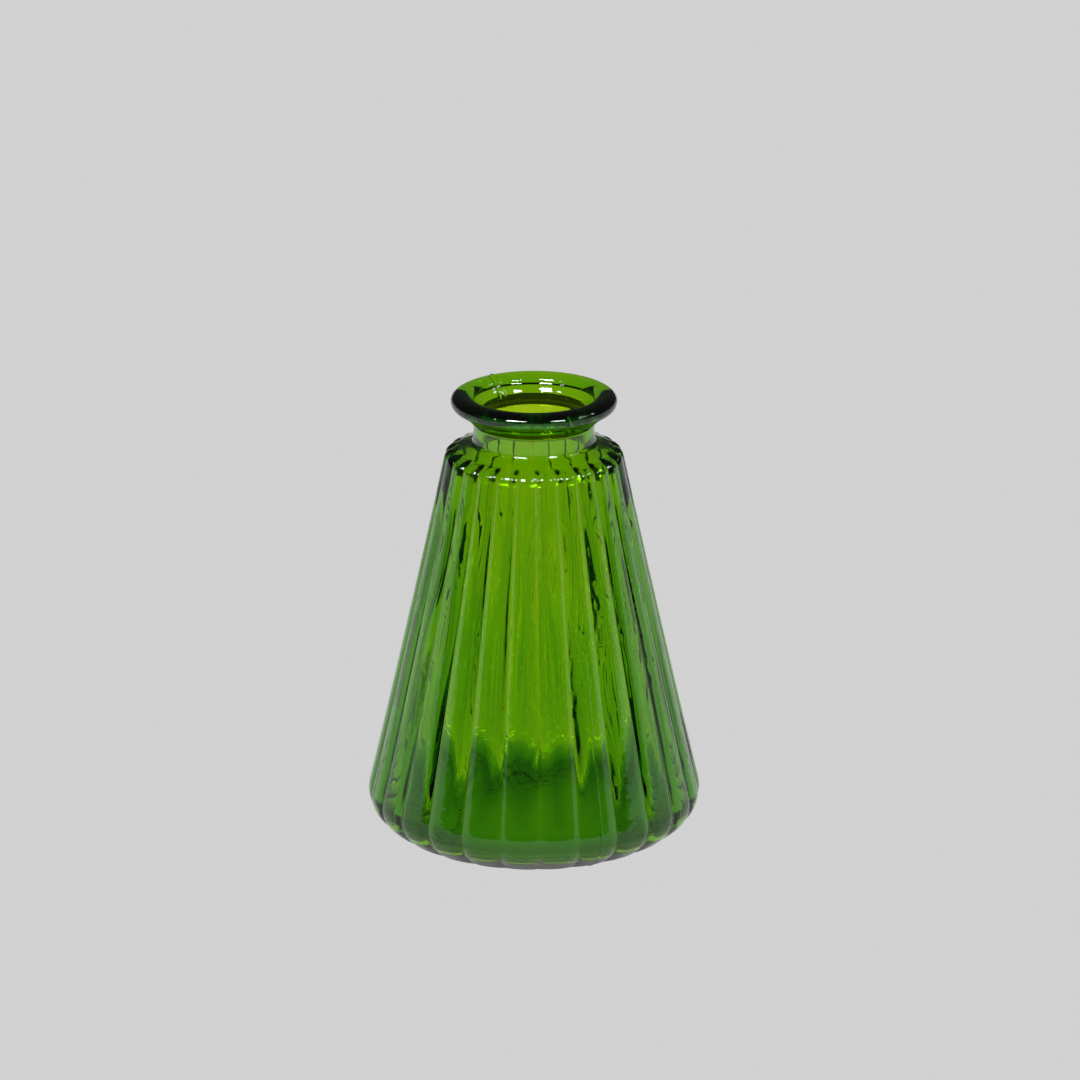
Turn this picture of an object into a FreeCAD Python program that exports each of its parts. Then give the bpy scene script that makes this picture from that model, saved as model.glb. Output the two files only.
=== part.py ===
"""Glass bud vase, 80 mm across and 109 mm tall.

The vase is one piece of blown glass, so the document holds one body, glass_vase:
a turned blank with a round heel, a leaning wall, a shoulder, a neck and a rolled
rim; a cavity with the neck's bore and the lip; a shallow push-up under the foot;
and 26 narrow valleys that leave 26 broad ribs between them.

Millimetres, +Z up, origin at the middle of the foot, on the surface it stands on.
"""
import FreeCAD
import Part

import math
import os

import Sketcher
from FreeCAD import Placement, Rotation, Vector

# Driving dimensions: alias, value. Lengths are millimetres, slopes and angles are degrees.
SIZES = {
    # outside: foot, heel and wall
    "foot_radius": 30.0,
    "under_heel_round": 16.2,
    "heel_round": 7.4,
    "heel_height": 9.45,
    "body_radius": 40.0,
    # outside: shoulder and neck
    "shoulder_centre": 19.0,
    "shoulder_height": 92.55,
    "shoulder_round": 2.3,
    "shoulder_slope": 21.0,
    "neck_radius": 14.3,
    "neck_fillet": 1.2,
    "neck_top": 101.4,
    # rim
    "rim_radius": 19.65,
    "rim_height": 106.8,
    "bead_round": 1.9,
    "bead_start_angle": -80.0,
    "mouth_radius": 14.05,
    # inside
    "floor_height": 5.2,
    "wall_thickness": 2.7,
    "inner_heel_round": 3.0,
    "inner_shoulder_centre": 16.25,
    "inner_shoulder_height": 90.3,
    "inner_shoulder_round": 3.2,
    "bore_radius": 12.2,
    "bore_top": 102.6,
    "throat_round": 2.0,
    # push-up under the foot
    "push_up_radius": 25.0,
    "push_up_depth": 0.5,
    # ribs
    "rib_count": 26,
    "valley_depth": 0.55,
    "valley_start": 26.0,
    "valley_under_round": 14.0,
    "valley_exit_slope": 29.0,
    "valley_end": 15.4,
    "valley_flank_round": 3.0,
    "valley_flank_centre": 1.95,
    "valley_mouth": 2.2,
    "valley_cutter_height": 1.5,
    "first_valley_angle": 8.98,
    # how far a cutter reaches past a face that it opens
    "clearance": 0.4,
}
LEAST_CUT = 1.0    # mm3 of glass that a cutting step has to take away

doc = FreeCAD.newDocument("bud_vase")


# ---------------------------------------------------------------- sheet

def make_sheet(sizes):
    """Put each driving dimension in a cell of its own, with its name as alias."""
    sheet = doc.addObject("Spreadsheet::Sheet", "Sizes")
    for row, (alias, value) in enumerate(sizes.items(), start=1):
        sheet.set(f"A{row}", alias)
        sheet.set(f"B{row}", str(value))
        sheet.setAlias(f"B{row}", alias)
    doc.recompute()
    return sheet


# ---------------------------------------------------------------- plane geometry

def polar(centre, radius, angle):
    """Point on a circle at an angle in degrees."""
    turn = math.radians(angle)
    return (centre[0] + radius * math.cos(turn), centre[1] + radius * math.sin(turn))


def angle_to(centre, point):
    """Direction in degrees from a centre to a point."""
    return math.degrees(math.atan2(point[1] - centre[1], point[0] - centre[0]))


def outer_tangent_angle(low, low_radius, high, high_radius):
    """Direction of the normal of the line that touches both circles on their outer side."""
    gap = math.dist(low, high)
    lean = math.degrees(math.acos((low_radius - high_radius) / gap))
    return angle_to(low, high) - lean


def circle_inside(centre, radius, point, big_radius):
    """Centre of a bigger circle that touches the first from outside it and passes the point."""
    gap = math.dist(centre, point)
    reach = big_radius - radius
    along = (reach ** 2 - big_radius ** 2 + gap ** 2) / (2 * gap)
    across = math.sqrt(reach ** 2 - along ** 2)
    unit = ((point[0] - centre[0]) / gap, (point[1] - centre[1]) / gap)
    return (centre[0] + along * unit[0] + across * unit[1],
            centre[1] + along * unit[1] - across * unit[0])


def throat(centre, rounding, slope, neck_radius, fillet):
    """Centre of the fillet between a sloping shoulder and the neck above it."""
    normal = polar((0, 0), 1.0, 90.0 - slope)
    level = normal[0] * centre[0] + normal[1] * centre[1] + rounding + fillet
    x = neck_radius + fillet
    return (x, (level - normal[0] * x) / normal[1])


# ---------------------------------------------------------------- sketches

def origin_feature(body, role):
    """Plane or axis of the body's own origin."""
    return next(item for item in body.Origin.OriginFeatures if item.Role == role)


class Outline:
    """A chain of edges in one sketch, each joined to the last and held by the sheet."""

    def __init__(self, body, name, plane):
        self.sketch = body.newObject("Sketcher::SketchObject", name)
        self.sketch.AttachmentSupport = (origin_feature(body, plane), [""])
        self.sketch.MapMode = "FlatFace"
        self.edges = []

    def _keep(self, curve, first, last, smooth):
        index = self.sketch.addGeometry(curve)
        if self.edges:
            self._join(self.edges[-1], (index, first, last), smooth)
        self.edges.append((index, first, last))
        return index

    def _join(self, before, after, smooth):
        kind = "Tangent" if smooth else "Coincident"
        self.sketch.addConstraint(Sketcher.Constraint(kind, before[0], before[2], after[0], after[1]))

    def line(self, start, end, smooth=False, lies=""):
        """Straight edge; lies may be Horizontal or Vertical."""
        index = self._keep(Part.LineSegment(Vector(*start, 0), Vector(*end, 0)), 1, 2, smooth)
        if lies:
            self.sketch.addConstraint(Sketcher.Constraint(lies, index))
        return index

    def arc(self, centre, radius, begin, finish, smooth=False):
        """Round edge from one angle to another; it runs clockwise when the angle falls."""
        low, high = sorted((math.radians(begin), math.radians(finish)))
        circle = Part.Circle(Vector(*centre, 0), Vector(0, 0, 1), radius)
        ends = (1, 2) if finish > begin else (2, 1)
        return self._keep(Part.ArcOfCircle(circle, low, high), *ends, smooth)

    def close(self, smooth=False):
        self._join(self.edges[-1], self.edges[0], smooth)

    def _bind(self, constraint, expression):
        """Add a sized constraint and drive it from the sheet."""
        index = self.sketch.addConstraint(constraint)
        self.sketch.setExpression(f"Constraints[{index}]", expression)

    def radius(self, edge, expression):
        value = self.sketch.Geometry[edge].Radius
        self._bind(Sketcher.Constraint("Radius", edge, value), expression)

    def across(self, edge, vertex, expression):
        """Distance of a vertex from the sketch's vertical axis; vertex 3 is a centre."""
        value = self.sketch.getPoint(edge, vertex).x
        self._bind(Sketcher.Constraint("DistanceX", -1, 1, edge, vertex, value), expression)

    def height(self, edge, vertex, expression):
        """Distance of a vertex from the sketch's horizontal axis."""
        value = self.sketch.getPoint(edge, vertex).y
        self._bind(Sketcher.Constraint("DistanceY", -1, 1, edge, vertex, value), expression)

    def centre(self, edge, across, height):
        self.across(edge, 3, across)
        self.height(edge, 3, height)

    def falls(self, edge, expression):
        """Slope of a straight edge that climbs towards the axis."""
        ends = self.sketch.Geometry[edge]
        value = math.atan2(ends.EndPoint.y - ends.StartPoint.y, ends.EndPoint.x - ends.StartPoint.x)
        self._bind(Sketcher.Constraint("Angle", edge, value), expression)

    def on_axis(self, edge, vertex):
        """Keep a vertex on the sketch's vertical axis."""
        self.sketch.addConstraint(Sketcher.Constraint("PointOnObject", edge, vertex, -2))

    def on_ground(self, edge, vertex):
        """Keep a vertex on the sketch's horizontal axis."""
        self.sketch.addConstraint(Sketcher.Constraint("PointOnObject", edge, vertex, -1))

    def level(self, edge, vertex, other, other_vertex):
        """Keep two points at one height."""
        self.sketch.addConstraint(
            Sketcher.Constraint("Horizontal", edge, vertex, other, other_vertex))

    def plumb(self, edge, vertex, other, other_vertex):
        """Keep two points one above the other."""
        self.sketch.addConstraint(
            Sketcher.Constraint("Vertical", edge, vertex, other, other_vertex))


# ---------------------------------------------------------------- outside

def draw_blank(body, size):
    """Half section of the solid blank: foot, heel, wall, shoulder, neck and rim."""
    foot = (size["foot_radius"], 0.0)
    heel = (size["body_radius"] - size["heel_round"], size["heel_height"])
    under = circle_inside(heel, size["heel_round"], foot, size["under_heel_round"])
    turn = angle_to(under, heel)
    shoulder = (size["shoulder_centre"], size["shoulder_height"])
    wall = outer_tangent_angle(heel, size["heel_round"], shoulder, size["shoulder_round"])
    slope_normal = 90.0 - size["shoulder_slope"]
    fillet = throat(shoulder, size["shoulder_round"], size["shoulder_slope"],
                    size["neck_radius"], size["neck_fillet"])
    bead = (size["rim_radius"] - size["bead_round"], size["rim_height"])
    top = size["rim_height"] + size["bead_round"]
    neck_top = (size["neck_radius"], size["neck_top"])

    pen = Outline(body, "blank_section", "XZ_Plane")
    pen.line((0, 0), foot, lies="Horizontal")
    low_arc = pen.arc(under, size["under_heel_round"], angle_to(under, foot), turn)
    heel_arc = pen.arc(heel, size["heel_round"], turn, wall, smooth=True)
    pen.line(polar(heel, size["heel_round"], wall),
             polar(shoulder, size["shoulder_round"], wall), smooth=True)
    shoulder_arc = pen.arc(shoulder, size["shoulder_round"], wall, slope_normal, smooth=True)
    slope = pen.line(polar(shoulder, size["shoulder_round"], slope_normal),
                     polar(fillet, -size["neck_fillet"], slope_normal), smooth=True)
    fillet_arc = pen.arc(fillet, size["neck_fillet"], slope_normal + 180.0, 180.0, smooth=True)
    neck = pen.line((size["neck_radius"], fillet[1]), neck_top, smooth=True, lies="Vertical")
    pen.line(neck_top, polar(bead, size["bead_round"], size["bead_start_angle"]))
    bead_arc = pen.arc(bead, size["bead_round"], size["bead_start_angle"], 90.0)
    pen.line((bead[0], top), (0, top), smooth=True, lies="Horizontal")
    axis = pen.line((0, top), (0, 0), lies="Vertical")
    pen.close()

    pen.sketch.addConstraint(Sketcher.Constraint("Coincident", axis, 2, -1, 1))
    pen.across(low_arc, 1, "Sizes.foot_radius")
    pen.radius(low_arc, "Sizes.under_heel_round")
    pen.radius(heel_arc, "Sizes.heel_round")
    pen.centre(heel_arc, "Sizes.body_radius - Sizes.heel_round", "Sizes.heel_height")
    pen.radius(shoulder_arc, "Sizes.shoulder_round")
    pen.centre(shoulder_arc, "Sizes.shoulder_centre", "Sizes.shoulder_height")
    pen.falls(slope, "(180 - Sizes.shoulder_slope) * 1 deg")
    pen.radius(fillet_arc, "Sizes.neck_fillet")
    pen.across(neck, 2, "Sizes.neck_radius")
    pen.height(neck, 2, "Sizes.neck_top")
    pen.radius(bead_arc, "Sizes.bead_round")
    pen.centre(bead_arc, "Sizes.rim_radius - Sizes.bead_round", "Sizes.rim_height")
    pen.height(bead_arc, 1,
               "Sizes.rim_height + Sizes.bead_round * sin(Sizes.bead_start_angle * 1 deg)")
    return pen.sketch


# ---------------------------------------------------------------- inside

def draw_cavity(body, size):
    """Half section of the hollow: floor, inner wall, inner shoulder, bore, flare and lip."""
    floor = size["floor_height"]
    heel = (size["body_radius"] - size["wall_thickness"] - size["inner_heel_round"],
            floor + size["inner_heel_round"])
    shoulder = (size["inner_shoulder_centre"], size["inner_shoulder_height"])
    wall = outer_tangent_angle(heel, size["inner_heel_round"],
                               shoulder, size["inner_shoulder_round"])
    slope_normal = 90.0 - size["shoulder_slope"]
    fillet = throat(shoulder, size["inner_shoulder_round"], size["shoulder_slope"],
                    size["bore_radius"], size["throat_round"])
    bore_top = (size["bore_radius"], size["bore_top"])
    flare_width = size["mouth_radius"] - size["bore_radius"]
    flare_height = size["rim_height"] - size["bore_top"]
    flare_radius = (flare_width ** 2 + flare_height ** 2) / (2 * flare_width)
    flare = (size["bore_radius"] + flare_radius, size["bore_top"])
    lip = (size["mouth_radius"] + size["bead_round"], size["rim_height"])
    top = size["rim_height"] + size["bead_round"]
    above = top + size["clearance"]

    pen = Outline(body, "cavity_section", "XZ_Plane")
    ground = pen.line((0, floor), (heel[0], floor), lies="Horizontal")
    heel_arc = pen.arc(heel, size["inner_heel_round"], -90.0, wall, smooth=True)
    pen.line(polar(heel, size["inner_heel_round"], wall),
             polar(shoulder, size["inner_shoulder_round"], wall), smooth=True)
    shoulder_arc = pen.arc(shoulder, size["inner_shoulder_round"], wall, slope_normal, smooth=True)
    slope = pen.line(polar(shoulder, size["inner_shoulder_round"], slope_normal),
                     polar(fillet, -size["throat_round"], slope_normal), smooth=True)
    fillet_arc = pen.arc(fillet, size["throat_round"], slope_normal + 180.0, 180.0, smooth=True)
    bore = pen.line((size["bore_radius"], fillet[1]), bore_top, smooth=True, lies="Vertical")
    pen.arc(flare, flare_radius, 180.0, angle_to(flare, (size["mouth_radius"], lip[1])), smooth=True)
    lip_arc = pen.arc(lip, size["bead_round"], 180.0, 90.0)
    pen.line((lip[0], top), (lip[0], above), lies="Vertical")
    lid = pen.line((lip[0], above), (0, above), lies="Horizontal")
    pen.line((0, above), (0, floor), lies="Vertical")
    pen.close()

    pen.on_axis(ground, 1)
    pen.height(ground, 1, "Sizes.floor_height")
    pen.radius(heel_arc, "Sizes.inner_heel_round")
    pen.across(heel_arc, 3, "Sizes.body_radius - Sizes.wall_thickness - Sizes.inner_heel_round")
    pen.radius(shoulder_arc, "Sizes.inner_shoulder_round")
    pen.centre(shoulder_arc, "Sizes.inner_shoulder_centre", "Sizes.inner_shoulder_height")
    pen.falls(slope, "(180 - Sizes.shoulder_slope) * 1 deg")
    pen.radius(fillet_arc, "Sizes.throat_round")
    pen.across(bore, 2, "Sizes.bore_radius")
    pen.height(bore, 2, "Sizes.bore_top")
    pen.radius(lip_arc, "Sizes.bead_round")
    pen.centre(lip_arc, "Sizes.mouth_radius + Sizes.bead_round", "Sizes.rim_height")
    pen.level(lip_arc, 3, lip_arc, 2)
    pen.plumb(lip_arc, 3, lip_arc, 1)
    pen.height(lid, 1, "Sizes.rim_height + Sizes.bead_round + Sizes.clearance")
    return pen.sketch


def draw_push_up(body, size):
    """Half section of the shallow dome that lifts the middle of the underside."""
    edge = size["push_up_radius"]
    depth = size["push_up_depth"]
    below = -size["clearance"]
    dome_radius = (edge ** 2 + depth ** 2) / (2 * depth)
    centre = (0.0, depth - dome_radius)

    pen = Outline(body, "push_up_section", "XZ_Plane")
    dome = pen.arc(centre, dome_radius, angle_to(centre, (edge, 0.0)), 90.0)
    axis = pen.line((0, depth), (0, below), lies="Vertical")
    bottom = pen.line((0, below), (edge, below), lies="Horizontal")
    pen.line((edge, below), (edge, 0), lies="Vertical")
    pen.close()

    pen.on_axis(dome, 3)
    pen.on_axis(axis, 1)
    pen.height(axis, 1, "Sizes.push_up_depth")
    pen.height(bottom, 1, "-Sizes.clearance")
    pen.across(dome, 1, "Sizes.push_up_radius")
    pen.on_ground(dome, 1)
    return pen.sketch


# ---------------------------------------------------------------- valleys between the ribs

def draw_valley_path(body, size):
    """Line that the bottom of one valley follows: under the heel, up the wall, over the shoulder."""
    depth = size["valley_depth"]
    below = -size["clearance"]
    heel = (size["body_radius"] - size["heel_round"], size["heel_height"])
    heel_radius = size["heel_round"] - depth
    under_radius = size["valley_under_round"]
    rise = below + under_radius - heel[1]
    under = (heel[0] - math.sqrt((under_radius - heel_radius) ** 2 - rise ** 2), below + under_radius)
    turn = angle_to(under, heel)
    shoulder = (size["shoulder_centre"], size["shoulder_height"])
    shoulder_radius = size["shoulder_round"] - depth
    wall = outer_tangent_angle(heel, heel_radius, shoulder, shoulder_radius)
    slope_normal = 90.0 - size["valley_exit_slope"]
    leave = polar(shoulder, shoulder_radius, slope_normal)
    climb = (leave[0] - size["valley_end"]) * math.tan(math.radians(size["valley_exit_slope"]))

    pen = Outline(body, "valley_path", "XZ_Plane")
    run_in = pen.line((size["valley_start"], below), (under[0], below), lies="Horizontal")
    under_arc = pen.arc(under, under_radius, -90.0, turn, smooth=True)
    heel_arc = pen.arc(heel, heel_radius, turn, wall, smooth=True)
    pen.line(polar(heel, heel_radius, wall), polar(shoulder, shoulder_radius, wall), smooth=True)
    shoulder_arc = pen.arc(shoulder, shoulder_radius, wall, slope_normal, smooth=True)
    run_out = pen.line(leave, (size["valley_end"], leave[1] + climb), smooth=True)

    pen.across(run_in, 1, "Sizes.valley_start")
    pen.height(run_in, 1, "-Sizes.clearance")
    pen.radius(under_arc, "Sizes.valley_under_round")
    pen.radius(heel_arc, "Sizes.heel_round - Sizes.valley_depth")
    pen.centre(heel_arc, "Sizes.body_radius - Sizes.heel_round", "Sizes.heel_height")
    pen.radius(shoulder_arc, "Sizes.shoulder_round - Sizes.valley_depth")
    pen.centre(shoulder_arc, "Sizes.shoulder_centre", "Sizes.shoulder_height")
    pen.falls(run_out, "(180 - Sizes.valley_exit_slope) * 1 deg")
    pen.across(run_out, 2, "Sizes.valley_end")
    return pen.sketch


def draw_valley_section(body, size):
    """Section of one valley: two round flanks that meet in a crease; the cutter opens downwards."""
    crease = (0.0, -size["clearance"])
    radius = size["valley_flank_round"]
    offset = size["valley_flank_centre"]
    centre_height = crease[1] + math.sqrt(radius ** 2 - offset ** 2)
    flank_end = crease[1] - size["valley_depth"] - size["clearance"] / 4
    flank_width = offset - math.sqrt(radius ** 2 - (flank_end - centre_height) ** 2)
    bottom = crease[1] - size["valley_cutter_height"]
    mouth = size["valley_mouth"]
    first = angle_to((offset, centre_height), crease)
    last = angle_to((offset, centre_height), (flank_width, flank_end))

    pen = Outline(body, "valley_section", "YZ_Plane")
    pen.sketch.AttachmentOffset = Placement(Vector(0, 0, size["valley_start"]), Rotation())
    pen.sketch.setExpression("AttachmentOffset.Base.z", "Sizes.valley_start")
    right = pen.arc((offset, centre_height), radius, first, last)
    pen.line((flank_width, flank_end), (mouth, bottom))
    base = pen.line((mouth, bottom), (-mouth, bottom), lies="Horizontal")
    pen.line((-mouth, bottom), (-flank_width, flank_end))
    left = pen.arc((-offset, centre_height), radius, -180.0 - last, -180.0 - first)
    pen.close()

    pen.on_axis(right, 1)
    pen.height(right, 1, "-Sizes.clearance")
    for side, sign in ((right, ""), (left, "-")):
        pen.radius(side, "Sizes.valley_flank_round")
        pen.across(side, 3, sign + "Sizes.valley_flank_centre")
    for side, outer_end in ((right, 2), (left, 1)):
        pen.height(side, outer_end, "-1.25 * Sizes.clearance - Sizes.valley_depth")
    pen.across(base, 1, "Sizes.valley_mouth")
    pen.across(base, 2, "-Sizes.valley_mouth")
    pen.height(base, 1, "-Sizes.clearance - Sizes.valley_cutter_height")
    return pen.sketch


# ---------------------------------------------------------------- the body

def turn_full(body, kind, name, sketch):
    """Revolve a half section all the way round the upright axis, to add or to cut."""
    feature = body.newObject(f"PartDesign::{kind}", name)
    feature.Profile = sketch
    feature.ReferenceAxis = (sketch, ["V_Axis"])
    feature.Angle = 360.0
    doc.recompute()
    return feature


def cut_valleys(body, size):
    """Sweep one valley along its path and repeat it once for each rib."""
    path = draw_valley_path(body, size)
    section = draw_valley_section(body, size)
    doc.recompute()
    valley = body.newObject("PartDesign::SubtractivePipe", "valley")
    valley.Profile = section
    valley.Spine = path
    doc.recompute()
    ring = body.newObject("PartDesign::PolarPattern", "valleys")
    ring.Originals = [valley]
    ring.Axis = (origin_feature(body, "Z_Axis"), [""])
    ring.Angle = 360.0
    ring.Occurrences = size["rib_count"]
    ring.setExpression("Occurrences", "Sizes.rib_count")
    body.Tip = ring
    doc.recompute()
    return valley, ring


def make_vase(size):
    """The whole vase as one body."""
    body = doc.addObject("PartDesign::Body", "glass_vase")
    body.Label = "glass_vase"
    steps = [turn_full(body, "Revolution", "blank", draw_blank(body, size))]
    steps.append(turn_full(body, "Groove", "cavity", draw_cavity(body, size)))
    steps.append(turn_full(body, "Groove", "push_up", draw_push_up(body, size)))
    steps.extend(cut_valleys(body, size))
    body.Placement = Placement(Vector(), Rotation(Vector(0, 0, 1), size["first_valley_angle"]))
    body.setExpression("Placement.Rotation.Angle", "Sizes.first_valley_angle * 1 deg")
    doc.recompute()
    return body, steps


# ---------------------------------------------------------------- tests and files

def check_document():
    """Stop if any object of the document failed to compute."""
    for item in doc.Objects:
        if {"Invalid", "Error"} & set(item.State):
            raise RuntimeError(f"{item.Name} is {item.State}")


def check_steps(steps):
    """Each step after the blank takes glass away; a cutter that points wrong takes none."""
    for before, after in zip(steps, steps[1:]):
        taken = before.Shape.Volume - after.Shape.Volume
        print(f"{after.Name} takes away {taken:.0f} mm3")
        if taken < LEAST_CUT:
            raise RuntimeError(f"{after.Name} cuts nothing")


def check_body(body):
    """The sub-part is one closed, valid solid."""
    shape = body.Shape
    if shape.isNull() or not shape.isValid() or len(shape.Solids) != 1:
        raise RuntimeError(f"{body.Label} is not one valid solid")
    box = shape.optimalBoundingBox()
    print(f"{body.Label}: {box.XLength:.2f} x {box.YLength:.2f} x {box.ZLength:.2f} mm,",
          f"{shape.Volume / 1000:.1f} ml of glass, {len(shape.Faces)} faces")


def main():
    make_sheet(SIZES)
    body, steps = make_vase(SIZES)
    check_document()
    check_steps(steps)
    check_body(body)
    os.makedirs("parts", exist_ok=True)
    body.Shape.exportStep(f"parts/{body.Label}.step")


main()
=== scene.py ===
"""Visual model of the ribbed glass bud vase: one closed skin of clear yellow-green glass.

The skin is one sheet of quads, rolled from the middle of the underside round the heel, up the
ribbed wall, over the shoulder, the neck and the rim, and down the inside to the floor.
Lengths are written in millimetres and turned into metres when the mesh is made.
Angles round the vase are degrees from -Y (the side seen from the front) towards +X.
"""
import math

import bpy
import numpy as np
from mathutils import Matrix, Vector


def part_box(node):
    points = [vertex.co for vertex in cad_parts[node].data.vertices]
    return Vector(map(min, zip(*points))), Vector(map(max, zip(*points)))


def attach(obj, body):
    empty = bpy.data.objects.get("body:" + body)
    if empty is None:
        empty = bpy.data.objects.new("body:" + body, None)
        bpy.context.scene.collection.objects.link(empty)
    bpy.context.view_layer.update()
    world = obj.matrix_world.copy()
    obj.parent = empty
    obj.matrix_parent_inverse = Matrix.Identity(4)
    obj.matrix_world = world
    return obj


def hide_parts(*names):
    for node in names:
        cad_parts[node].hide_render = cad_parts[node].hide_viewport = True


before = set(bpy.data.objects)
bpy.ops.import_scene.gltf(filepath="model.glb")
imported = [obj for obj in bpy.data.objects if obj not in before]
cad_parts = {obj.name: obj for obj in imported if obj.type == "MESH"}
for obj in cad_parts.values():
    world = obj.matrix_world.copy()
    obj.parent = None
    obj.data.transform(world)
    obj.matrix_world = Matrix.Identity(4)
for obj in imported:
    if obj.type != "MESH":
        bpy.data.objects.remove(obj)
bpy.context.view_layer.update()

MM = 0.001
NODE = "glass_vase"
low_corner, high_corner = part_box(NODE)

# ---------------------------------------------------------------- sizes, mm

BODY_RADIUS = high_corner.x / MM
HEIGHT = high_corner.z / MM

FOOT_RADIUS = 30.0
UNDER_HEEL_ROUND = 16.2
HEEL_ROUND = 7.4
HEEL_HEIGHT = 9.45
WALL_BOW = 0.26             # how far the middle of the wall stands in from a straight line
SHOULDER_CENTRE = (19.0, 92.55)
SHOULDER_ROUND = 2.3
SHOULDER_SLOPE = 21.0
NECK_RADIUS = 14.3
NECK_FILLET = 1.2
NECK_TOP = 101.4
RIM_RADIUS = 19.65
RIM_HEIGHT = 106.8
BEAD_LOWER = (1.85, 2.1)    # half width and half height of the bead below its widest level
BEAD_UPPER = (2.8, HEIGHT - RIM_HEIGHT)

PUSH_UP_RADIUS = 25.0
PUSH_UP_DEPTH = 0.5

FLOOR_HEIGHT = 5.2
FLOOR_TILT = 1.2            # the bottom is thicker at the back and thinner at the front
TILT_FADE = (6.0, 22.0)     # heights between which the tilt dies out
INNER_HEEL_ROUND = 3.0
WALL_THICKNESS = 2.7
INNER_SHOULDER_CENTRE = (16.25, 90.3)
INNER_SHOULDER_ROUND = 3.2
BORE_RADIUS = 12.2
BORE_TOP = 102.6
THROAT_ROUND = 2.0

RIB_COUNT = 26
RIB_DEPTH = 0.7
FIRST_VALLEY = 2.06         # degrees
VALLEY_SOFTNESS = 0.10
RIB_POWER = 4.5

BODY_SEAM = 23.5            # degrees; a second seam lies opposite
RIM_SEAM = 34.0
SEAM_HEIGHT = 0.15
SEAM_WIDTH = 0.22

SEAM_TOP = 97.0             # the body seams end on the shoulder, below the neck
SEAM_COLUMNS = (-0.9, -0.6, -0.3, 0.0, 0.3, 0.6, 0.9)   # degrees, mesh columns round a seam
VALLEY_COLUMNS = (0.0, 0.012, 0.03, 0.06, 0.11, 0.18, 0.27, 0.38, 0.5)  # parts of a rib's pitch
CLOSEST_COLUMNS = 0.08      # degrees

# Unevenness of the blown inner wall. Each row: seed, number of waves, waves round the vase,
# wavelength up the wall, typical height.
SWELL_WAVES = (3, 12, (2, 9), (35.0, 120.0), 0.15)
RIB_WAVES = (13, 10, (3, 12), (60.0, 200.0), 0.35)      # how unequal the thicker ribs are
STREAK_WAVES = (5, 30, (18, 60), (60.0, 260.0), 0.10)
WRINKLE_WAVES = (7, 50, (60, 130), (2.5, 9.0), 0.10)
PATCH_WAVES = (11, 10, (3, 9), (30.0, 90.0), 1.0)       # where the wrinkles are
PATCH_LEVEL = 0.4
THICKER_RIBS = 0.34         # how far the inner wall bulges behind a rib
WAVES_FOOT = (12.0, 24.0)   # heights between which the waves begin
WAVES_TOP = (74.0, 88.0)    # and die out again


# ---------------------------------------------------------------- camera

CAMERA_DISTANCE = 1.0972
CAMERA_ELEVATION = 19.79
CAMERA_AIM_HEIGHT = 54.86 * MM
CAMERA_LENS = 153.0
CAMERA_SENSOR = 36.0
FRAME_RIGHT = 1.43 * MM     # how far the frame's middle lies right of and above the aim point
FRAME_UP = 16.15 * MM


def make_camera():
    data = bpy.data.cameras.new("camera")
    data.lens = CAMERA_LENS
    data.sensor_width = CAMERA_SENSOR
    data.clip_start = 0.05
    data.clip_end = 50.0
    camera = bpy.data.objects.new("camera", data)
    bpy.context.scene.collection.objects.link(camera)
    tilt = math.radians(CAMERA_ELEVATION)
    back = Vector((0.0, -math.cos(tilt), math.sin(tilt)))
    up = Vector((0.0, math.sin(tilt), math.cos(tilt)))
    aim = Vector((0.0, 0.0, CAMERA_AIM_HEIGHT))
    camera.location = aim + back * CAMERA_DISTANCE
    middle = aim + Vector((FRAME_RIGHT, 0.0, 0.0)) + up * FRAME_UP
    camera.rotation_mode = "QUATERNION"
    camera.rotation_quaternion = (middle - camera.location).to_track_quat("-Z", "Y")
    bpy.context.scene.camera = camera


# ---------------------------------------------------------------- plane geometry

def polar(centre, radius, angle):
    turn = math.radians(angle)
    return (centre[0] + radius * math.cos(turn), centre[1] + radius * math.sin(turn))


def angle_to(centre, point):
    return math.degrees(math.atan2(point[1] - centre[1], point[0] - centre[0]))


def outer_tangent_angle(low, low_radius, high, high_radius):
    """Direction of the normal of the line that touches both circles on their outer side."""
    lean = math.degrees(math.acos((low_radius - high_radius) / math.dist(low, high)))
    return angle_to(low, high) - lean


def circle_inside(centre, radius, point, big_radius):
    """Centre of a bigger circle that touches the first from outside it and passes the point."""
    gap = math.dist(centre, point)
    reach = big_radius - radius
    along = (reach ** 2 - big_radius ** 2 + gap ** 2) / (2 * gap)
    across = math.sqrt(reach ** 2 - along ** 2)
    unit = ((point[0] - centre[0]) / gap, (point[1] - centre[1]) / gap)
    return (centre[0] + along * unit[0] + across * unit[1],
            centre[1] + along * unit[1] - across * unit[0])


def throat(centre, rounding, slope, neck_radius, fillet):
    """Centre of the fillet between a sloping shoulder and the neck above it."""
    normal = polar((0, 0), 1.0, 90.0 - slope)
    level = normal[0] * centre[0] + normal[1] * centre[1] + rounding + fillet
    x = neck_radius + fillet
    return (x, (level - normal[0] * x) / normal[1])


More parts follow.
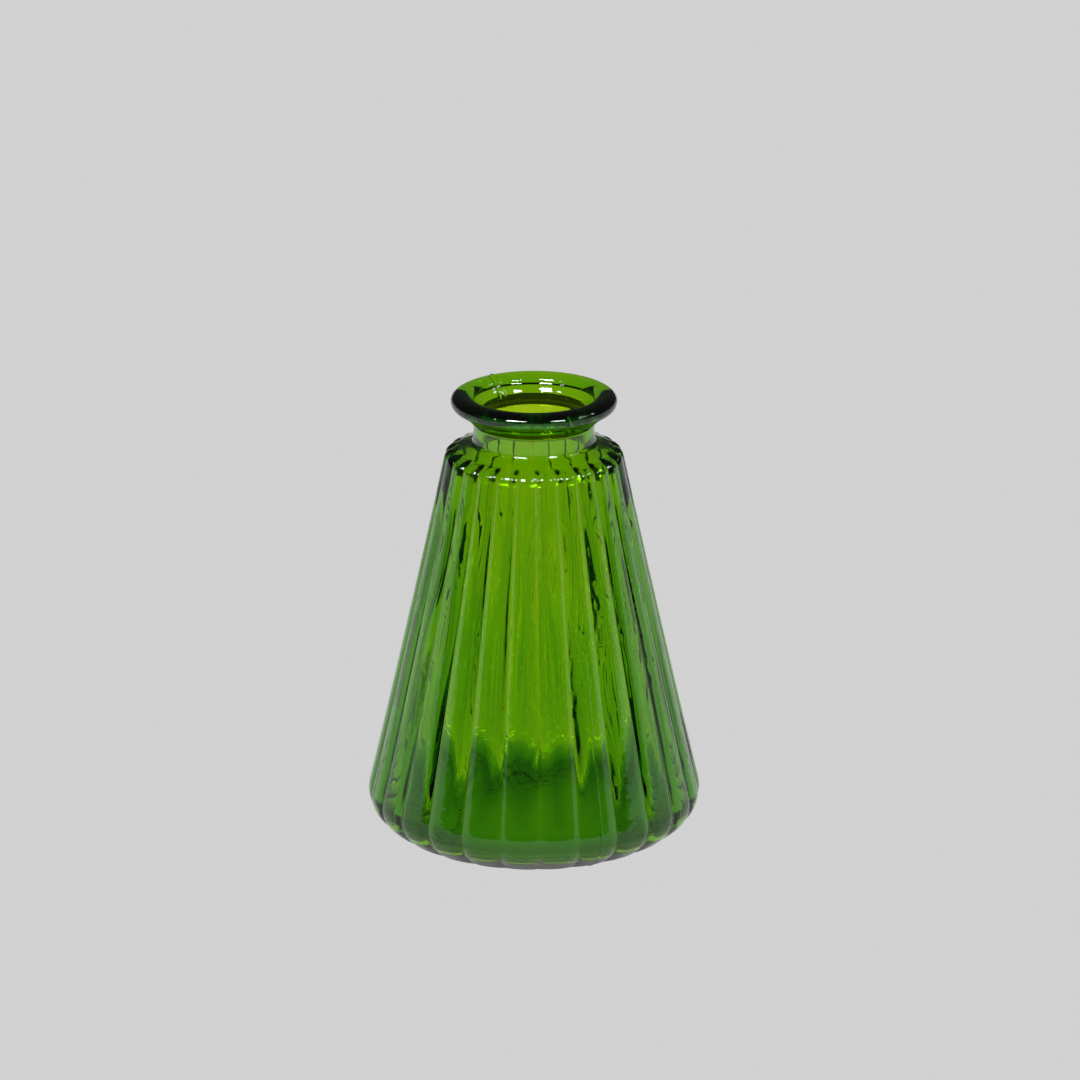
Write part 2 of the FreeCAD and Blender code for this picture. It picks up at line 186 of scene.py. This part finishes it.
class Profile:
    """Rows of the half section, each with the rib depth that it carries."""

    def __init__(self):
        self.points = []
        self.depths = []

    def add(self, point, depth=0.0):
        if self.points and math.dist(point, self.points[-1]) < 1e-6:
            return
        self.points.append(point)
        self.depths.append(depth)

    def line(self, start, end, rows, depth=lambda t: 0.0, bow=0.0):
        for t in np.linspace(0.0, 1.0, rows + 1):
            x = start[0] + (end[0] - start[0]) * t - bow * 4 * t * (1 - t)
            self.add((x, start[1] + (end[1] - start[1]) * t), depth(t))

    def arc(self, centre, radius, begin, finish, rows, depth=lambda t: 0.0, height=None):
        """Round stretch; with a height it is an ellipse of that half height."""
        tall = radius if height is None else height
        for t in np.linspace(0.0, 1.0, rows + 1):
            turn = math.radians(begin + (finish - begin) * t)
            self.add((centre[0] + radius * math.cos(turn), centre[1] + tall * math.sin(turn)), depth(t))


def smooth_step(t):
    t = min(max(t, 0.0), 1.0)
    return t * t * (3 - 2 * t)


def outside(profile):
    """Underside, foot, heel, wall, shoulder, neck and the outer half of the rim."""
    for t in np.linspace(0.0, 1.0, 15):
        profile.add((PUSH_UP_RADIUS * t, PUSH_UP_DEPTH * (1 - t * t)))
    foot = (FOOT_RADIUS, 0.0)
    profile.line((PUSH_UP_RADIUS, 0.0), foot, 5)
    heel = (BODY_RADIUS - HEEL_ROUND, HEEL_HEIGHT)
    under = circle_inside(heel, HEEL_ROUND, foot, UNDER_HEEL_ROUND)
    turn = angle_to(under, heel)
    wall = outer_tangent_angle(heel, HEEL_ROUND, SHOULDER_CENTRE, SHOULDER_ROUND)
    full = lambda t: RIB_DEPTH
    profile.arc(under, UNDER_HEEL_ROUND, angle_to(under, foot), turn, 14,
                lambda t: RIB_DEPTH * smooth_step(t * 1.1))
    profile.arc(heel, HEEL_ROUND, turn, wall, 20, full)
    profile.line(polar(heel, HEEL_ROUND, wall), polar(SHOULDER_CENTRE, SHOULDER_ROUND, wall),
                 80, full, bow=WALL_BOW)
    normal = 90.0 - SHOULDER_SLOPE
    profile.arc(SHOULDER_CENTRE, SHOULDER_ROUND, wall, normal, 16, full)
    fillet = throat(SHOULDER_CENTRE, SHOULDER_ROUND, SHOULDER_SLOPE, NECK_RADIUS, NECK_FILLET)
    profile.line(polar(SHOULDER_CENTRE, SHOULDER_ROUND, normal), polar(fillet, -NECK_FILLET, normal),
                 16, lambda t: RIB_DEPTH * (1 - smooth_step(t * 2.5)))
    profile.arc(fillet, NECK_FILLET, normal + 180.0, 180.0, 8)
    profile.line((NECK_RADIUS, fillet[1]), (NECK_RADIUS, NECK_TOP), 8)
    bead = (RIM_RADIUS - BEAD_LOWER[0], RIM_HEIGHT)
    profile.line((NECK_RADIUS, NECK_TOP), (bead[0], bead[1] - BEAD_LOWER[1]), 8)
    profile.arc(bead, BEAD_LOWER[0], -90.0, 0.0, 12, height=BEAD_LOWER[1])
    crown = (RIM_RADIUS - BEAD_UPPER[0], RIM_HEIGHT)
    profile.arc(crown, BEAD_UPPER[0], 0.0, 180.0, 28, height=BEAD_UPPER[1])
    return (crown[0] - BEAD_UPPER[0], RIM_HEIGHT)


def inside(profile, lip):
    """Flare, bore, throat, inner shoulder, inner wall, inner heel and floor."""
    width = lip[0] - BORE_RADIUS
    rise = lip[1] - BORE_TOP
    flare_radius = (width ** 2 + rise ** 2) / (2 * width)
    flare = (BORE_RADIUS + flare_radius, BORE_TOP)
    profile.arc(flare, flare_radius, angle_to(flare, lip), 180.0, 8)
    fillet = throat(INNER_SHOULDER_CENTRE, INNER_SHOULDER_ROUND, SHOULDER_SLOPE,
                    BORE_RADIUS, THROAT_ROUND)
    profile.line((BORE_RADIUS, BORE_TOP), (BORE_RADIUS, fillet[1]), 8)
    normal = 90.0 - SHOULDER_SLOPE
    profile.arc(fillet, THROAT_ROUND, 180.0, normal + 180.0, 8)
    heel = (BODY_RADIUS - WALL_THICKNESS - INNER_HEEL_ROUND, FLOOR_HEIGHT + INNER_HEEL_ROUND)
    wall = outer_tangent_angle(heel, INNER_HEEL_ROUND, INNER_SHOULDER_CENTRE, INNER_SHOULDER_ROUND)
    profile.line(polar(fillet, -THROAT_ROUND, normal),
                 polar(INNER_SHOULDER_CENTRE, INNER_SHOULDER_ROUND, normal), 10)
    profile.arc(INNER_SHOULDER_CENTRE, INNER_SHOULDER_ROUND, normal, wall, 12)
    profile.line(polar(INNER_SHOULDER_CENTRE, INNER_SHOULDER_ROUND, wall),
                 polar(heel, INNER_HEEL_ROUND, wall), 80, bow=WALL_BOW)
    profile.arc(heel, INNER_HEEL_ROUND, wall, -90.0, 18)
    profile.line((heel[0], FLOOR_HEIGHT), (0.0, FLOOR_HEIGHT), 16)


# ---------------------------------------------------------------- glass skin

def opposite(angle):
    """The angle and the one across the vase, for the two seams of a mould in halves."""
    return (angle, angle + 180.0)


def column_angles():
    """Angles of the mesh columns: close together at the valleys and at the seams."""
    pitch = 360.0 / RIB_COUNT
    steps = np.array(VALLEY_COLUMNS)
    half = np.concatenate([steps, 1.0 - steps[1:-1][::-1]])
    angles = [FIRST_VALLEY + pitch * (rib + part) for rib in range(RIB_COUNT) for part in half]
    for seam in opposite(BODY_SEAM) + opposite(RIM_SEAM):
        angles += [seam + offset for offset in SEAM_COLUMNS]
    angles = np.sort(np.mod(np.array(angles), 360.0))
    keep = np.concatenate([[True], np.diff(angles) > CLOSEST_COLUMNS])
    return angles[keep]


def rib_shape(angles):
    """0 on a rib's nearly flat crest and 1 in a narrow valley, with a smooth change between."""
    pitch = 360.0 / RIB_COUNT
    across = np.abs(np.mod((angles - FIRST_VALLEY) / pitch, 1.0) * 2 - 1)
    gap = np.sqrt((1 - across) ** 2 + VALLEY_SOFTNESS ** 2) - VALLEY_SOFTNESS
    return np.clip(1 - gap, 0.0, 1.0) ** RIB_POWER


def waves(angles, heights, seed, count, around, upward, size):
    """Sum of random waves that close round the vase; around and upward give their ranges."""
    random = np.random.default_rng(seed)
    turn = np.radians(angles)[None, :]
    total = np.zeros((len(heights), len(angles)))
    for _ in range(count):
        number = random.integers(around[0], around[1] + 1)
        rate = 2 * math.pi / random.uniform(*upward) * random.choice((-1, 1))
        phase = random.uniform(0, 2 * math.pi)
        total += np.cos(number * turn + rate * heights[:, None] + phase)
    return total * size / math.sqrt(count / 2)


def inner_waves(angles, heights):
    """Broad swells, thicker glass behind the ribs, upright streaks and patches of wrinkles."""
    swell = waves(angles, heights, *SWELL_WAVES)
    uneven = 1.0 + waves(angles, heights, *RIB_WAVES)
    turn = np.radians(angles - FIRST_VALLEY)[None, :]
    swell -= THICKER_RIBS * uneven * np.cos(RIB_COUNT * turn)
    streaks = waves(angles, heights, *STREAK_WAVES)
    wrinkles = waves(angles, heights, *WRINKLE_WAVES)
    patches = waves(angles, heights, *PATCH_WAVES)
    return swell + streaks + wrinkles * np.clip(patches - PATCH_LEVEL, 0.0, 1.0)


def ridge(angles, radii, centre):
    """A fine raised line at one angle."""
    offset = np.mod(angles[None, :] - centre + 180.0, 360.0) - 180.0
    reach = np.radians(offset) * radii[:, None]
    return SEAM_HEIGHT * np.exp(-(reach / SEAM_WIDTH) ** 2)


def normals_of(points):
    """Unit normals of the half section, on the right-hand side of its direction."""
    step = np.gradient(points, axis=0)
    step /= np.linalg.norm(step, axis=1)[:, None]
    return np.stack([step[:, 1], -step[:, 0]], axis=1)


def rise(value, reach):
    """0 below the reach, 1 above it, smooth between."""
    return smooth_step((value - reach[0]) / (reach[1] - reach[0]))


def push_of_skin(points, depths, inner, angles):
    """How far each point of the skin stands out from the plain half section."""
    push = -depths[:, None] * rib_shape(angles)[None, :]
    body = ~inner & (points[:, 1] < SEAM_TOP) & (points[:, 0] > FOOT_RADIUS)
    rim = points[:, 1] > NECK_TOP
    for rows, seam in ((body, BODY_SEAM), (rim, RIM_SEAM)):
        for angle in opposite(seam):
            push += rows[:, None] * ridge(angles, points[:, 0], angle)
    wall = np.array([(1.0 - rise(z, WAVES_TOP)) * rise(z, WAVES_FOOT) for z in points[:, 1]]) * inner
    return push + wall[:, None] * inner_waves(angles, points[:, 1])


def turn_round(points, push, angles):
    """Grid of 3-D points: the pushed half section turned round the axis."""
    normals = normals_of(points)
    radii = points[:, 0][:, None] + normals[:, 0][:, None] * push
    heights = points[:, 1][:, None] + normals[:, 1][:, None] * push
    turn = np.radians(angles)[None, :]
    return np.stack([radii * np.sin(turn), -radii * np.cos(turn), heights], axis=2) * MM


def tilt_floor(grid, points, inner):
    """Raises the inner floor at the back and lowers it at the front."""
    fade = np.array([1.0 - rise(z, TILT_FADE) for z in points[:, 1]]) * inner
    grid[:, :, 2] += FLOOR_TILT * fade[:, None] * grid[:, :, 1] / (BODY_RADIUS - WALL_THICKNESS)


def close_sheet(grid):
    """Vertices and faces of the grid, closed round and with one point at each end."""
    middle = grid[1:-1]
    rows, columns = middle.shape[:2]
    vertices = np.concatenate([[grid[0, 0]], middle.reshape(-1, 3), [grid[-1, 0]]])
    index = 1 + np.arange(rows * columns).reshape(rows, columns)
    after = np.roll(index, -1, axis=1)
    quads = np.stack([index[:-1], after[:-1], after[1:], index[1:]], axis=2).reshape(-1, 4)
    end = len(vertices) - 1
    faces = [(0, int(b), int(a)) for a, b in zip(index[0], after[0])]
    faces += [tuple(map(int, quad)) for quad in quads]
    faces += [(end, int(a), int(b)) for a, b in zip(index[-1], after[-1])]
    return vertices, faces


def make_skin():
    profile = Profile()
    lip = outside(profile)
    outer_rows = len(profile.points)
    inside(profile, lip)
    points = np.array(profile.points)
    inner = np.arange(len(points)) >= outer_rows
    angles = column_angles()
    push = push_of_skin(points, np.array(profile.depths), inner, angles)
    grid = turn_round(points, push, angles)
    tilt_floor(grid, points, inner)
    vertices, faces = close_sheet(grid)

    mesh = bpy.data.meshes.new("vase_skin")
    mesh.from_pydata(vertices.tolist(), [], faces)
    mesh.update()
    for polygon in mesh.polygons:
        polygon.use_smooth = True
    skin = bpy.data.objects.new("vase_skin", mesh)
    bpy.context.scene.collection.objects.link(skin)
    return skin


# ---------------------------------------------------------------- glass

GLASS_IOR = 1.52
GLASS_TINT = (0.834, 0.932, 0.0, 1.0)
GLASS_DENSITY = 2000.0      # per metre

FIRE_FINISH = (0.0, 0.012)   # roughness of the clearest and of the dullest patches
PATCH_SCALE = 45.0          # patches per metre
PATCH_RANGE = (0.35, 0.75)  # part of the noise that runs from clearest to dullest
RIPPLE_SCALE = 420.0
RIPPLE_HEIGHT = 0.02 * MM
STIPPLE_ROUGHNESS = 0.45    # the foot is stippled by the mould, outside the push-up
STIPPLE_TOP = (1.5 * MM, 6.0 * MM)
STIPPLE_INNER = (24.0 * MM, 25.5 * MM)
STIPPLE_SCALE = 900.0
STIPPLE_HEIGHT = 0.06 * MM


def add_node(tree, kind, **values):
    """New node with the given socket defaults; spaces in socket names are written as _."""
    node = tree.nodes.new(kind)
    for name, value in values.items():
        node.inputs[name.replace("_", " ")].default_value = value
    return node


def smooth_range(tree, source, reach, values):
    """Smooth change between two values where the source goes through the given range."""
    node = add_node(tree, "ShaderNodeMapRange", From_Min=reach[0], From_Max=reach[1],
                    To_Min=values[0], To_Max=values[1])
    node.interpolation_type = "SMOOTHSTEP"
    tree.links.new(source, node.inputs["Value"])
    return node.outputs["Result"]


def stipple_mask(tree, place):
    """1 on the foot ring and under the heel, 0 on the push-up, the walls and the inner floor."""
    split = tree.nodes.new("ShaderNodeSeparateXYZ")
    tree.links.new(place, split.inputs["Vector"])
    flat = tree.nodes.new("ShaderNodeVectorMath")
    flat.operation = "MULTIPLY"
    flat.inputs[1].default_value = (1.0, 1.0, 0.0)
    tree.links.new(place, flat.inputs[0])
    radius = tree.nodes.new("ShaderNodeVectorMath")
    radius.operation = "LENGTH"
    tree.links.new(flat.outputs["Vector"], radius.inputs[0])
    both = tree.nodes.new("ShaderNodeMath")
    both.operation = "MULTIPLY"
    tree.links.new(smooth_range(tree, split.outputs["Z"], STIPPLE_TOP, (1.0, 0.0)), both.inputs[0])
    tree.links.new(smooth_range(tree, radius.outputs["Value"], STIPPLE_INNER, (0.0, 1.0)),
                   both.inputs[1])
    return both.outputs["Value"]


def glass_surface(tree, shader):
    """Slightly uneven fire finish, and a stippled ring round the foot."""
    links = tree.links
    place = tree.nodes.new("ShaderNodeTexCoord").outputs["Object"]
    foot = stipple_mask(tree, place)

    patches = add_node(tree, "ShaderNodeTexNoise", Scale=PATCH_SCALE, Detail=3.0)
    links.new(place, patches.inputs["Vector"])
    finish = add_node(tree, "ShaderNodeMapRange", From_Min=PATCH_RANGE[0], From_Max=PATCH_RANGE[1],
                      To_Min=FIRE_FINISH[0], To_Max=FIRE_FINISH[1])
    links.new(patches.outputs["Fac"], finish.inputs["Value"])
    rough = add_node(tree, "ShaderNodeMix", B=STIPPLE_ROUGHNESS)
    links.new(foot, rough.inputs["Factor"])
    links.new(finish.outputs["Result"], rough.inputs["A"])
    links.new(rough.outputs["Result"], shader.inputs["Roughness"])

    ripple = add_node(tree, "ShaderNodeTexNoise", Scale=RIPPLE_SCALE, Detail=2.0)
    links.new(place, ripple.inputs["Vector"])
    ripple_bump = add_node(tree, "ShaderNodeBump", Strength=1.0, Distance=RIPPLE_HEIGHT)
    links.new(ripple.outputs["Fac"], ripple_bump.inputs["Height"])
    stipple = add_node(tree, "ShaderNodeTexVoronoi", Scale=STIPPLE_SCALE)
    links.new(place, stipple.inputs["Vector"])
    stipple_bump = add_node(tree, "ShaderNodeBump", Distance=STIPPLE_HEIGHT)
    links.new(foot, stipple_bump.inputs["Strength"])
    links.new(stipple.outputs["Distance"], stipple_bump.inputs["Height"])
    links.new(ripple_bump.outputs["Normal"], stipple_bump.inputs["Normal"])
    links.new(stipple_bump.outputs["Normal"], shader.inputs["Normal"])


def glass_material():
    material = bpy.data.materials.new("green_glass")
    material.use_nodes = True
    nodes = material.node_tree.nodes
    links = material.node_tree.links
    shader = nodes["Principled BSDF"]
    shader.inputs["Base Color"].default_value = (1.0, 1.0, 1.0, 1.0)
    glass_surface(material.node_tree, shader)
    shader.inputs["IOR"].default_value = GLASS_IOR
    shader.inputs["Transmission Weight"].default_value = 1.0
    volume = nodes.new("ShaderNodeVolumeAbsorption")
    volume.inputs["Color"].default_value = GLASS_TINT
    volume.inputs["Density"].default_value = GLASS_DENSITY
    links.new(volume.outputs["Volume"], nodes["Material Output"].inputs["Volume"])
    return material


# ---------------------------------------------------------------- stage

FLOOR_HALF = 6.0
FLOOR_DROP = -0.0002
TABLE_GLOW = 0.64           # one even brightness, for the camera and for the glass alike
ROOM_GLOW = 0.05            # the dim room around, the same in every direction

# name, azimuth, elevation (degrees, as the camera's), distance, width, height (m), brightness
SOFTBOXES = (
    ("front_left", -29.0, 42.0, 1.6, 0.60, 0.55, 32.0),
    ("front_right", 37.0, 36.0, 1.6, 0.46, 0.38, 30.0),
    ("far_left", -60.0, 35.0, 1.6, 0.20, 0.20, 16.0),
    ("far_right", 79.0, 35.0, 1.6, 0.16, 0.22, 20.0),
    ("side_right", 98.0, 35.0, 1.6, 0.16, 0.22, 16.0),
)


def make_floor():
    """Plain pale table, evenly bright all over."""
    mesh = bpy.data.meshes.new("floor")
    corners = [(x * FLOOR_HALF, y * FLOOR_HALF, FLOOR_DROP)
               for x, y in ((-1, -1), (1, -1), (1, 1), (-1, 1))]
    mesh.from_pydata(corners, [], [(0, 1, 2, 3)])
    floor = bpy.data.objects.new("floor", mesh)
    bpy.context.scene.collection.objects.link(floor)
    material = bpy.data.materials.new("pale_floor")
    material.use_nodes = True
    nodes = material.node_tree.nodes
    nodes.remove(nodes["Principled BSDF"])
    glow = add_node(material.node_tree, "ShaderNodeEmission", Strength=TABLE_GLOW)
    material.node_tree.links.new(glow.outputs["Emission"], nodes["Material Output"].inputs["Surface"])
    mesh.materials.append(material)


def make_softbox(name, azimuth, elevation, distance, width, height, brightness):
    """Area light that faces the middle of the vase."""
    data = bpy.data.lights.new(name, "AREA")
    data.shape = "RECTANGLE"
    data.size = width
    data.size_y = height
    data.energy = brightness * math.pi * width * height
    light = bpy.data.objects.new(name, data)
    bpy.context.scene.collection.objects.link(light)
    turn, tilt = math.radians(azimuth), math.radians(elevation)
    back = Vector((math.sin(turn) * math.cos(tilt), -math.cos(turn) * math.cos(tilt), math.sin(tilt)))
    light.location = Vector((0.0, 0.0, HEIGHT * MM / 2)) + back * distance
    light.visible_camera = False
    light.rotation_mode = "QUATERNION"
    light.rotation_quaternion = (-back).to_track_quat("-Z", "Y")


def make_world():
    world = bpy.data.worlds.new("studio")
    bpy.context.scene.world = world
    world.use_nodes = True
    background = world.node_tree.nodes["Background"]
    background.inputs["Color"].default_value = (1.0, 1.0, 1.0, 1.0)
    background.inputs["Strength"].default_value = ROOM_GLOW


# ---------------------------------------------------------------- build

make_camera()
skin = make_skin()
skin.data.materials.append(glass_material())
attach(skin, "root")
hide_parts(NODE)
make_floor()
make_world()
for softbox in SOFTBOXES:
    make_softbox(*softbox)
bpy.context.scene.view_settings.view_transform = "Standard"
